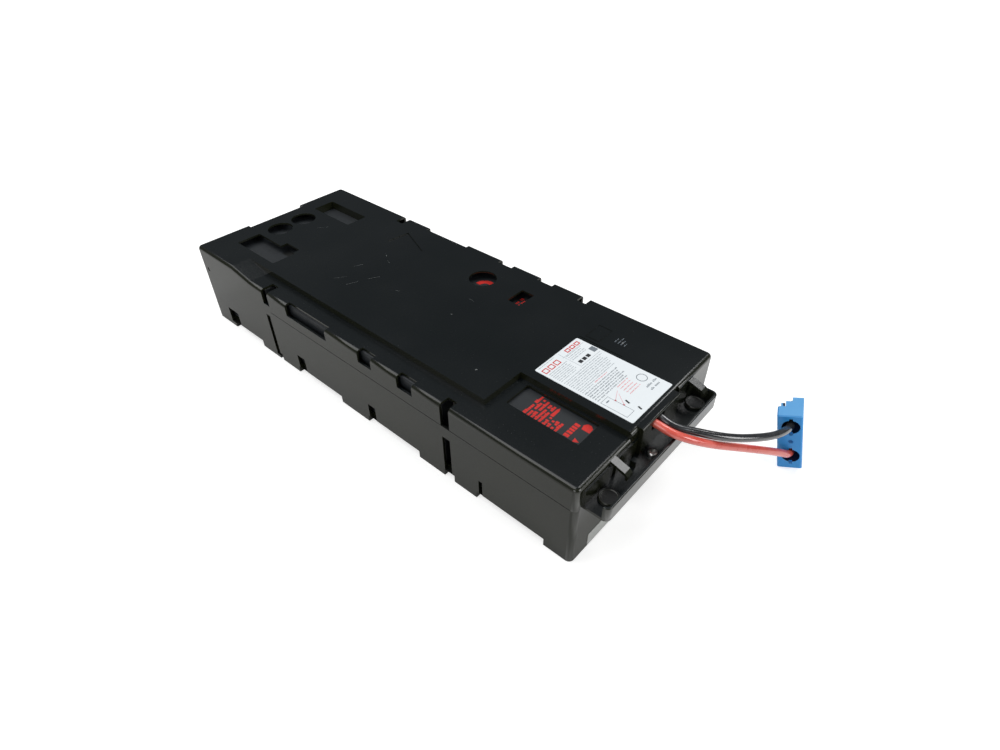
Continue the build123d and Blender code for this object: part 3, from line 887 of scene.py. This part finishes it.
@dataclass
class Shell:
    """Tray and cover, with the cover's small forms and the trough's fasteners, in millimetres."""

    edge_rounding: float = 0.7
    end_cut_size: Place = (5.0, 13.0, 16.0)
    end_cut_middle: Place = (-73.6, -206.9, 60.0)
    plate_x: Span = (-50.6, -26.2)
    plate_y: Span = (-187.8, -178.4)
    plate_drop: float = 1.65
    plate_thickness: float = 1.7
    lid_places: tuple[Point, ...] = (
        (-9.2, 85.1), (-25.0, 75.9), (-10.8, 57.3), (16.0, 73.4), (47.2, -90.3),
    )
    lid_radius: float = 2.1
    lid_drop: float = 0.01
    lid_thickness: float = 0.04
    row_seed: int = 23
    row_start: float = 45.0
    row_ends: tuple[float, ...] = (50.5, 53.5, 51.5, 49.0)
    row_back: float = -141.0
    row_pitch: float = 2.6
    row_height: float = 0.9
    row_bold: float = 0.6
    row_thickness: float = 0.03
    ledge_parts: tuple[Span, ...] = ((-73.2, -47.3), (-40.8, -17.5))
    ledge_y: Span = (FRONT - 1.0, FRONT + 0.1)
    ledge_level: float = 52.0
    ledge_height: float = 13.4

    def build(self) -> None:
        """Dresses the two mouldings and their fasteners, and adds the small forms."""
        cover = ShellFinish("cover_black", scratches=SCRATCHES).build()
        tray = ShellFinish("tray_black", colour=(0.012, 0.0125, 0.011)).build()
        dress(["top_cover"], cover)
        dress(["bottom_tray"], tray)
        self._open_end()
        for name in ("top_cover", "bottom_tray"):
            soften(name, self.edge_rounding)
        self._window_plate().build(cover)
        self._lids().build(cover)
        self._moulded_rows().build(InkFinish(Ink.GREY).build())
        self._ledge().build(cover)
        rivet = ShellFinish("rivet_black", colour=(0.013, 0.013, 0.013), roughness=0.3).build()
        dress(["trough_rivets"], rivet)
        TroughBosses().build(rivet)
        dress(["trough_screw"], MetalFinish("zinc_plate", (0.70, 0.70, 0.68), 0.18).build())

    def _open_end(self) -> None:
        """Takes the wall off the left end of the front trough, down to its floor."""
        mesh = bpy.data.meshes.new("trough_end_cut")
        work = bmesh.new()
        bmesh.ops.create_cube(work, size=1.0)
        for vertex in work.verts:
            sides = zip(vertex.co, self.end_cut_size, self.end_cut_middle)
            vertex.co = Vector([(part * length + centre) * MM for part, length, centre in sides])
        work.to_mesh(mesh)
        work.free()
        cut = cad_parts["top_cover"].modifiers.new("open_end", "BOOLEAN")
        cut.operation = "DIFFERENCE"
        cut.solver = "EXACT"
        cut.object = bpy.data.objects.new("trough_end_cut", mesh)

    def _window_plate(self) -> FlatShapes:
        """Plate that ends the low window earlier."""
        level = LOW_LEVEL - self.plate_drop
        plate = FlatShapes("window_end_plate", level, Slot.COVER, self.plate_thickness)
        plate.bar(self.plate_x, self.plate_y)
        return plate

    def _lids(self) -> FlatShapes:
        """Thin lids over the dimples of the top."""
        level = TOP_LEVEL - self.lid_drop
        lids = FlatShapes("top_lids", level, Slot.COVER, self.lid_thickness)
        for centre in self.lid_places:
            lids.disc(centre, self.lid_radius)
        return lids

    def _moulded_rows(self) -> FlatShapes:
        """Faint small rows moulded into the top beside the label."""
        draw = random.Random(self.row_seed)
        rows = FlatShapes("top_rows", TOP_LEVEL, Slot.COVER, self.row_thickness)
        for number, end in enumerate(self.row_ends):
            y = self.row_back - self.row_pitch * number
            rows.row((self.row_start, end), y, self.row_height, draw, self.row_bold)
        return rows

    def _ledge(self) -> FlatShapes:
        """Ledge along the back of the front trough, on both sides of the left hook."""
        ledge = FlatShapes("trough_ledge", self.ledge_level, Slot.COVER, self.ledge_height)
        for x in self.ledge_parts:
            ledge.bar(x, self.ledge_y)
        return ledge


@dataclass
class TroughBosses:
    """Broad flat heads with a rim, on the two push fasteners of the trough, in millimetres."""

    centres: tuple[Point, ...] = ((-58.9, -208.8), (47.9, -207.2))
    profile: tuple[Point, ...] = (
        (6.7, 52.0), (6.7, 53.9), (6.2, 54.5), (5.2, 54.5), (4.8, 54.0), (0.8, 54.0),
    )
    sides: int = 40
    flat: float = 0.99

    def build(self, material: bpy.types.Material) -> bpy.types.Object:
        """Turns the profile about each centre.

        Args:
            material: the finish.

        Returns:
            The piece.
        """
        work = bmesh.new()
        for centre in self.centres:
            rings = [self._ring(work, centre, radius, level) for radius, level in self.profile]
            work.faces.new(rings[0][::-1])
            work.faces.new(rings[-1])
            for lower, upper in zip(rings, rings[1:]):
                for n in range(self.sides):
                    after = (n + 1) % self.sides
                    work.faces.new((lower[n], lower[after], upper[after], upper[n]))
        work.normal_update()
        for face in work.faces:
            face.smooth = abs(face.normal.z) < self.flat
        LOG.info("trough_bosses: %d", len(self.centres))
        return add_piece("trough_bosses", work, material)

    def _ring(
        self, work: bmesh.types.BMesh, centre: Point, radius: float, level: float
    ) -> list[bmesh.types.BMVert]:
        """Adds the corners of one level circle.

        Args:
            work: the mesh.
            centre: the circle's centre.
            radius: its radius.
            level: its height above the ground.

        Returns:
            The corners.
        """
        ring = []
        for n in range(self.sides):
            turn = 2 * math.pi * n / self.sides
            x, y = centre[0] + radius * math.cos(turn), centre[1] + radius * math.sin(turn)
            ring.append(work.verts.new((x * MM, y * MM, level * MM)))
        return ring


@dataclass(frozen=True)
class BlockRows:
    """Rows of print on a block: their ends, the first row's place and how they shorten."""

    x: Span
    y: float
    count: int
    bold: float
    shortening: float = 0.0


@dataclass
class SealedBlocks:
    """Blocks, links and pads inside, with the red print that shows through the windows."""

    seed: int = 5
    ink_thickness: float = 0.05
    small: float = 2.45
    pitch: float = 3.05
    front_rows: tuple[BlockRows, ...] = (
        BlockRows((-49.0, -27.5), -133.6, 5, 0.9, 0.6),
        BlockRows((-50.0, -39.5), -149.6, 4, 0.9),
    )
    middle_rows: tuple[BlockRows, ...] = (BlockRows((36.6, 53.4), -48.9, 4, 0.85),)
    bar_start: float = -47.0
    bar_y: Span = (-168.5, -164.6)
    bar_widths: tuple[float, ...] = (3.2, 2.6, 2.2, 2.4, 2.8)
    bar_fill: float = 0.84
    bar_gap: float = 0.3
    pointer: tuple[Point, ...] = (
        (-38.5, -150.6), (-38.5, -148.0), (-31.0, -148.2), (-29.0, -149.3), (-31.5, -150.4),
    )
    emblem: tuple[Point, ...] = (
        (-35.4, -176.6), (-35.4, -170.6), (-31.6, -169.6),
        (-29.2, -171.4), (-29.0, -174.0), (-31.0, -176.4),
    )
    wedge: tuple[Point, ...] = ((-48.2, -172.4), (-44.2, -172.0), (-46.0, -176.2))
    arc_centre: Point = (46.4, -13.4)
    arc_reach: Span = (9.5, 5.0)
    arc_degrees: tuple[int, int, int] = (-35, 100, 9)

    def build(self) -> None:
        """Dresses the blocks and prints their tops."""
        dress(["battery_block_%d" % n for n in range(1, 5)], BlockFinish().build())
        tinned = MetalFinish("tinned_copper", (0.74, 0.71, 0.65)).build()
        metal = ["link_strap_%d" % n for n in range(1, 4)]
        metal += ["positive_lug", "negative_lug", "positive_contact", "negative_contact"]
        dress(metal, tinned)
        dress(["rear_pad"] + ["top_pad_%d" % n for n in range(1, 5)], FoamFinish().build())
        self._front_print().build(InkFinish(Ink.RED).build())
        self._middle_print().build(InkFinish(Ink.RED).build())

    def _rows(
        self, sheet: FlatShapes, blocks: tuple[BlockRows, ...], draw: random.Random
    ) -> None:
        """Adds groups of rows.

        Args:
            sheet: the print.
            blocks: the groups.
            draw: the source of the random widths.
        """
        for block in blocks:
            for number in range(block.count):
                x = (block.x[0], block.x[1] - block.shortening * number)
                sheet.row(x, block.y - self.pitch * number, self.small, draw, block.bold)

    def _front_print(self) -> FlatShapes:
        """Print on the first block, under the low window."""
        draw = random.Random(self.seed)
        sheet = FlatShapes("block_print_front", BLOCK_TOP, Slot.BLOCK, self.ink_thickness)
        self._rows(sheet, self.front_rows, draw)
        sheet.area(list(self.pointer))
        place = self.bar_start
        for width in self.bar_widths:
            sheet.bar((place, place + width * self.bar_fill), self.bar_y)
            place += width + self.bar_gap
        sheet.area(list(self.emblem))
        sheet.area(list(self.wedge))
        return sheet

    def _middle_print(self) -> FlatShapes:
        """Print under the round and the oblong window of the raised part."""
        draw = random.Random(self.seed + 1)
        sheet = FlatShapes("block_print_middle", BLOCK_TOP, Slot.BLOCK, self.ink_thickness)
        self._rows(sheet, self.middle_rows, draw)
        turns = [math.radians(angle) for angle in range(*self.arc_degrees)]
        sheet.arc(self.arc_centre, self.arc_reach, turns)
        return sheet


@dataclass(frozen=True)
class LabelRows:
    """Block of rows on the label: its place in shares of the label, and the rows' height."""

    across: Span
    down: Span
    count: int
    height: float


@dataclass(frozen=True)
class LabelStroke:
    """Straight stroke on the label: its ends in shares of the label, and its width."""

    start: Point
    end: Point
    width: float


@dataclass(frozen=True)
class LabelFields:
    """Equal plain fields side by side, in shares of the label, with an outline's width."""

    starts: tuple[float, ...]
    width: float
    down: Span
    outline: float = 0.0


@dataclass
class FrontLabel:
    """White label on the raised part, with plain print, and the pale sticker low in front."""

    x: Span = (-17.3, 31.1)
    y: Span = (-195.7, -117.9)
    level: float = 74.6
    ink_thickness: float = 0.03
    seed: int = 11
    raggedness: Span = (0.0, 0.12)
    grey_rows: tuple[LabelRows, ...] = (
        LabelRows((0.05, 0.40), (0.018, 0.018), 1, 0.8),
        LabelRows((0.05, 0.46), (0.135, 0.268), 7, 0.75),
        LabelRows((0.53, 0.88), (0.095, 0.165), 4, 0.75),
        LabelRows((0.05, 0.93), (0.300, 0.465), 8, 0.8),
        LabelRows((0.05, 0.30), (0.487, 0.487), 1, 0.8),
    )
    grey_strokes: tuple[LabelStroke, ...] = (
        LabelStroke((0.50, 0.02), (0.50, 0.275), 0.25),
        LabelStroke((0.50, 0.275), (0.97, 0.275), 0.25),
        LabelStroke((0.47, 0.085), (0.97, 0.085), 0.2),
    )
    dark_rows: tuple[LabelRows, ...] = (LabelRows((0.05, 0.82), (0.515, 0.640), 6, 0.95),)
    large_rows: tuple[LabelRows, ...] = (
        LabelRows((0.72, 0.97), (0.850, 0.850), 1, 1.7),
        LabelRows((0.72, 0.95), (0.895, 0.895), 1, 1.7),
    )
    outlined_box: LabelFields = LabelFields((0.045,), 0.17, (0.93, 0.67), 0.28)
    box_bar: LabelFields = LabelFields((0.10,), 0.06, (0.712, 0.700))
    corner_bar: LabelFields = LabelFields((0.89,), 0.095, (0.245, 0.175))
    ring_place: Point = (0.85, 0.755)
    ring_radius: float = 3.9
    ring_width: float = 0.55
    black_bars: LabelFields = LabelFields((0.55, 0.64, 0.73), 0.07, (0.250, 0.212))
    black_dashes: tuple[LabelStroke, ...] = (
        LabelStroke((0.312, 0.806), (0.292, 0.852), 1.3),
        LabelStroke((0.318, 0.925), (0.300, 0.965), 1.3),
    )
    rose_rows: tuple[LabelRows, ...] = (
        LabelRows((0.34, 0.64), (0.487, 0.487), 1, 0.9),
        LabelRows((0.46, 0.72), (0.665, 0.790), 5, 0.85),
    )
    rose_leaders: tuple[LabelStroke, ...] = (
        LabelStroke((0.40, 0.690), (0.218, 0.746), 0.22),
        LabelStroke((0.36, 0.720), (0.222, 0.828), 0.22),
    )
    rose_dot: float = 0.75
    red_frames: tuple[LabelFields, ...] = (
        LabelFields((0.04, 0.165, 0.29), 0.10, (0.112, 0.052), 0.75),
        LabelFields((0.62, 0.73, 0.84), 0.09, (0.072, 0.026), 0.8),
    )

    def spot(self, across: float, down: float) -> Point:
        """A point by its share of the label's width and of its length from the back edge."""
        return (
            self.x[0] + across * (self.x[1] - self.x[0]),
            self.y[1] - down * (self.y[1] - self.y[0]),
        )

    def span(self, across: Span) -> Span:
        """Two places across the label."""
        return self.spot(across[0], 0)[0], self.spot(across[1], 0)[0]

    def drop(self, down: Span) -> Span:
        """Two places along the label."""
        return self.spot(0, down[0])[1], self.spot(0, down[1])[1]

    def build(self) -> None:
        """Dresses both stickers and prints the label."""
        white = PaperFinish("label_white", (0.84, 0.885, 0.91), (0.82, 0.87, 0.90))
        grey = PaperFinish("sticker_grey", (0.55, 0.56, 0.54), (0.42, 0.43, 0.42))
        dress(["top_label"], white.build())
        dress(["front_sticker"], grey.build())
        prints = (
            (Ink.PALE_GREY, self._grey()),
            (Ink.GREY, self._dark()),
            (Ink.BLACK, self._black()),
            (Ink.ROSE, self._rose()),
            (Ink.RED, self._red()),
        )
        for ink, sheet in prints:
            sheet.build(InkFinish(ink).build())

    def _sheet(self, name: str) -> FlatShapes:
        """An empty print for the label."""
        return FlatShapes("label_print_" + name, self.level, Slot.LABEL, self.ink_thickness)

    def _rows(self, sheet: FlatShapes, blocks: tuple[LabelRows, ...]) -> None:
        """Adds blocks of rows with ragged ends.

        Args:
            sheet: the print.
            blocks: the blocks.
        """
        for block in blocks:
            draw = random.Random(self.seed + len(sheet.shapes))
            start, stop = block.across
            first, last = block.down
            for number in range(block.count):
                share = first + (last - first) * number / max(block.count - 1, 1)
                ragged = draw.uniform(*self.raggedness) if number else 0.0
                x = self.span((start, stop - ragged * (stop - start)))
                sheet.row(x, self.spot(0, share)[1], block.height, draw)

    def _strokes(self, sheet: FlatShapes, strokes: tuple[LabelStroke, ...]) -> None:
        """Adds straight strokes."""
        for stroke in strokes:
            sheet.line(self.spot(*stroke.start), self.spot(*stroke.end), stroke.width)

    def _fields(self, sheet: FlatShapes, fields: LabelFields) -> None:
        """Adds a group of fields, filled or as outlines.

        Args:
            sheet: the print.
            fields: the group.
        """
        for start in fields.starts:
            x, y = self.span((start, start + fields.width)), self.drop(fields.down)
            if fields.outline:
                sheet.frame(x, y, fields.outline)
            else:
                sheet.bar(x, y)

    def _grey(self) -> FlatShapes:
        """Fine pale lines and small rows."""
        sheet = self._sheet("grey")
        self._rows(sheet, self.grey_rows)
        self._strokes(sheet, self.grey_strokes)
        return sheet

    def _dark(self) -> FlatShapes:
        """Darker rows, the outlined box, a ring and a bar in the corner."""
        sheet = self._sheet("dark")
        self._rows(sheet, self.dark_rows)
        self._fields(sheet, self.outlined_box)
        self._fields(sheet, self.box_bar)
        sheet.ring(self.spot(*self.ring_place), self.ring_radius, self.ring_width)
        self._rows(sheet, self.large_rows)
        self._fields(sheet, self.corner_bar)
        return sheet

    def _black(self) -> FlatShapes:
        """Bold short bars and two dashes."""
        sheet = self._sheet("black")
        self._fields(sheet, self.black_bars)
        self._strokes(sheet, self.black_dashes)
        return sheet

    def _rose(self) -> FlatShapes:
        """Small rose rows, leader lines and dots."""
        sheet = self._sheet("rose")
        self._rows(sheet, self.rose_rows)
        for leader in self.rose_leaders:
            self._strokes(sheet, (leader,))
            sheet.disc(self.spot(*leader.end), self.rose_dot)
        return sheet

    def _red(self) -> FlatShapes:
        """Plain red outlines in the header."""
        sheet = self._sheet("red")
        for fields in self.red_frames:
            self._fields(sheet, fields)
        return sheet


@dataclass
class PowerLead:
    """One free lead on a smooth line through its route's points, in millimetres."""

    name: str
    node: str
    slot: Slot
    route: tuple[Place, ...]
    length: float
    finish: LeadFinish
    with_pieces: tuple[str, ...]
    diameter: float = 5.6
    round_steps: int = 7
    length_steps: int = 10
    order: int = 3

    def build(self) -> bpy.types.Object:
        """Returns:
            The piece.
        """
        curve = bpy.data.curves.new(self.name, "CURVE")
        curve.dimensions = "3D"
        curve.bevel_depth = self.diameter / 2 * MM
        curve.bevel_resolution = self.round_steps
        curve.resolution_u = self.length_steps
        curve.use_fill_caps = True
        line = curve.splines.new("NURBS")
        line.points.add(len(self.route) - 1)
        for point, place in zip(line.points, self.route):
            point.co = (*(part * MM for part in place), 1.0)
        line.order_u = self.order
        line.use_endpoint_u = True
        curve.materials.append(self.finish.build())
        piece = bpy.data.objects.new(self.name, curve)
        bpy.context.scene.collection.objects.link(piece)
        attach(piece, BODY)
        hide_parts(self.node)
        LOG.info("%s: %.1f mm", self.name, self.length)
        return piece


@dataclass
class PowerConnector:
    """Two-way connector at the end of the leads."""

    edge_rounding: float = 0.35

    def build(self) -> None:
        """Dresses the housing."""
        dress(["connector_housing"], ConnectorFinish().build())
        soften("connector_housing", self.edge_rounding)


@dataclass(frozen=True)
class Softbox:
    """Square lamp that looks at a point of the part, in metres."""

    name: str
    place: Place
    size: float
    share: float
    target: Place = (0.0, -0.02, 0.05)

    def build(self) -> None:
        """Adds the lamp with the power that gives its share of plain light at the target."""
        data = bpy.data.lights.new(self.name, "AREA")
        data.shape = "SQUARE"
        data.size = self.size
        reach = Vector(self.target) - Vector(self.place)
        data.energy = self.share * math.pi ** 2 * reach.length_squared
        lamp = bpy.data.objects.new(self.name, data)
        lamp.location = self.place
        lamp.rotation_euler = reach.to_track_quat("-Z", "Y").to_euler()
        bpy.context.scene.collection.objects.link(lamp)


@dataclass
class Studio:
    """White floor, dim surroundings and softboxes."""

    floor_size: float = 14.0
    floor_drop: float = 0.0002
    floor_colour: Colour = (0.62, 0.62, 0.61)
    floor_roughness: float = 0.9
    floor_near: float = 0.68
    floor_far: float = 1.1
    floor_blend: Span = (0.30, 0.75)
    floor_mirrored: float = 0.14
    front_mirrored: float = 0.75
    front_blend: Span = (-0.232, -0.212)
    sky: float = 0.10
    sky_colour: Colour = (0.95, 1.0, 1.05)
    lamps: tuple[Softbox, ...] = (
        Softbox("overhead", (-0.24, 0.56, 1.47), 1.4, 0.66),
        Softbox("left_fill", (-2.3, -0.5, 1.1), 1.1, 0.23),
        Softbox("front_fill", (0.5, -2.3, 1.0), 1.1, 0.38),
        Softbox("hook_glint", (0.98, -0.36, 1.30), 0.55, 0.32),
    )

    def build(self) -> None:
        """Builds the whole studio."""
        self._floor()
        self._world()
        for lamp in self.lamps:
            lamp.build()

    def _floor(self) -> None:
        """Level floor, white to the camera, that keeps the part's soft shadow.

        It is paler far off, and the part mirrors a darker floor than the camera sees, except
        in front.
        """
        mesh = bpy.data.meshes.new("floor")
        half = self.floor_size / 2
        corners = ((-half, -half), (half, -half), (half, half), (-half, half))
        mesh.from_pydata([(x, y, -self.floor_drop) for x, y in corners], [], [(0, 1, 2, 3)])
        tree = FinishTree("floor_white")
        path = tree.node("ShaderNodeLightPath", {}, {}, "Is Camera Ray")
        rays = path.socket.node.outputs
        glossy = Value(tree, rays["Is Glossy Ray"])
        mirrored = glossy.either(Value(tree, rays["Is Transmission Ray"]))
        x, y, _ = tree.axes(tree.place())
        reach = tree.node("ShaderNodeMath", {"operation": "SQRT"}, {0: x * x + y * y})
        distant = tree.between(reach, *self.floor_blend)
        white = tree.mix(distant, (self.floor_near,) * 3, (self.floor_far,) * 3)
        seen = tree.mix(path, (0.0, 0.0, 0.0), white)
        behind = tree.between(y, *self.front_blend)
        reflected = tree.mix(behind, (self.front_mirrored,) * 3, (self.floor_mirrored,) * 3)
        tree.set(
            Base_Color=self.floor_colour,
            Roughness=self.floor_roughness,
            Specular_IOR_Level=0.0,
            Emission_Color=tree.mix(mirrored, seen, reflected),
            Emission_Strength=1.0,
        )
        mesh.materials.append(tree.material)
        floor = bpy.data.objects.new("floor", mesh)
        bpy.context.scene.collection.objects.link(floor)

    def _world(self) -> None:
        """Dim even surroundings."""
        world = bpy.data.worlds.new("studio")
        world.use_nodes = True
        nodes = world.node_tree.nodes
        nodes.clear()
        output = nodes.new("ShaderNodeOutputWorld")
        plain = nodes.new("ShaderNodeBackground")
        plain.inputs[0].default_value = (*self.sky_colour, 1.0)
        plain.inputs[1].default_value = self.sky
        world.node_tree.links.new(plain.outputs[0], output.inputs[0])
        bpy.context.scene.world = world


@dataclass(frozen=True)
class PhotoCamera:
    """Camera at the photograph's viewpoint, in millimetres and degrees."""

    place: Place = (-279.637, -319.377, 350.906)
    azimuth: float = 48.407
    elevation: float = 40.354
    roll: float = -0.334
    lens: float = 22.876
    sensor: float = 36.0
    nearest: float = 10.0

    def build(self) -> None:
        """Adds the camera and makes it the scene's own."""
        azimuth, elevation = math.radians(self.azimuth), math.radians(self.elevation)
        roll = math.radians(self.roll)
        ahead = Vector((
            math.sin(azimuth) * math.cos(elevation),
            math.cos(azimuth) * math.cos(elevation),
            -math.sin(elevation),
        ))
        level = Vector((math.cos(azimuth), -math.sin(azimuth), 0.0))
        rise = level.cross(ahead)
        right = math.cos(roll) * level + math.sin(roll) * rise
        up = math.cos(roll) * rise - math.sin(roll) * level
        data = bpy.data.cameras.new("photo_camera")
        data.sensor_fit = "HORIZONTAL"
        data.sensor_width = self.sensor
        data.lens = self.lens
        data.clip_start = self.nearest * MM
        camera = bpy.data.objects.new("photo_camera", data)
        turn = Matrix((right, up, -ahead)).transposed().to_4x4()
        camera.matrix_world = Matrix.Translation(Vector(self.place) * MM) @ turn
        bpy.context.scene.collection.objects.link(camera)
        bpy.context.scene.camera = camera


RED_ROUTE = (
    (-53.5, 108.0, 69.75),
    (-53.5, 72.0, 69.75),
    (-46.0, 30.0, 69.75),
    (-36.5, -14.0, 69.75),
    (-29.0, -56.0, 69.75),
    (-18.5, -97.0, 69.75),
    (-9.5, -137.0, 69.75),
    (-4.0, -168.0, 69.75),
    (-2.6, -188.5, 69.75),
    (-2.5, -203.0, 69.3),
    (-1.6, -214.0, 66.9),
    (5.0, -224.2, 62.5),
    (20.0, -235.1, 53.4),
    (41.5, -247.3, 41.9),
    (60.5, -257.6, 31.3),
    (75.3, -265.0, 22.2),
    (86.59, -269.92, 14.22),
    (95.04, -266.83, 14.22),
)

BLACK_ROUTE = (
    (48.0, -176.0, 69.75),
    (33.5, -176.0, 69.75),
    (19.0, -178.4, 69.75),
    (8.8, -188.0, 69.75),
    (4.0, -204.0, 68.8),
    (5.6, -214.0, 65.6),
    (13.9, -223.2, 62.1),
    (23.4, -235.0, 58.5),
    (33.2, -244.0, 55.1),
    (45.4, -251.9, 51.3),
    (59.4, -259.0, 47.0),
    (72.5, -262.9, 43.6),
    (84.27, -263.57, 40.15),
    (92.72, -260.48, 40.15),
)


LEADS = (
    PowerLead(
        "red_power_lead",
        "red_lead",
        Slot.RED_LEAD,
        RED_ROUTE,
        453.8,
        LeadFinish("red_pvc", (0.70, 0.080, 0.055), (0.80, 0.150, 0.110)),
        ("connector_housing", "positive_contact"),
    ),
    PowerLead(
        "black_power_lead",
        "black_lead",
        Slot.BLACK_LEAD,
        BLACK_ROUTE,
        177.4,
        LeadFinish("black_pvc", (0.014, 0.015, 0.017), (0.05, 0.052, 0.056), 0.12),
        ("negative_contact",),
    ),
)


def main() -> None:
    """Builds the pieces in order: camera, leads, finishes, print and studio."""
    logging.basicConfig(level=logging.INFO, format="%(name)s %(message)s")
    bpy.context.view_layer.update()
    scene = bpy.context.scene
    scene.view_settings.view_transform = "Standard"
    PhotoCamera().build()
    for lead in LEADS:
        lead.build()
    Shell().build()
    SealedBlocks().build()
    FrontLabel().build()
    PowerConnector().build()
    Studio().build()


if __name__ == "__main__":
    main()
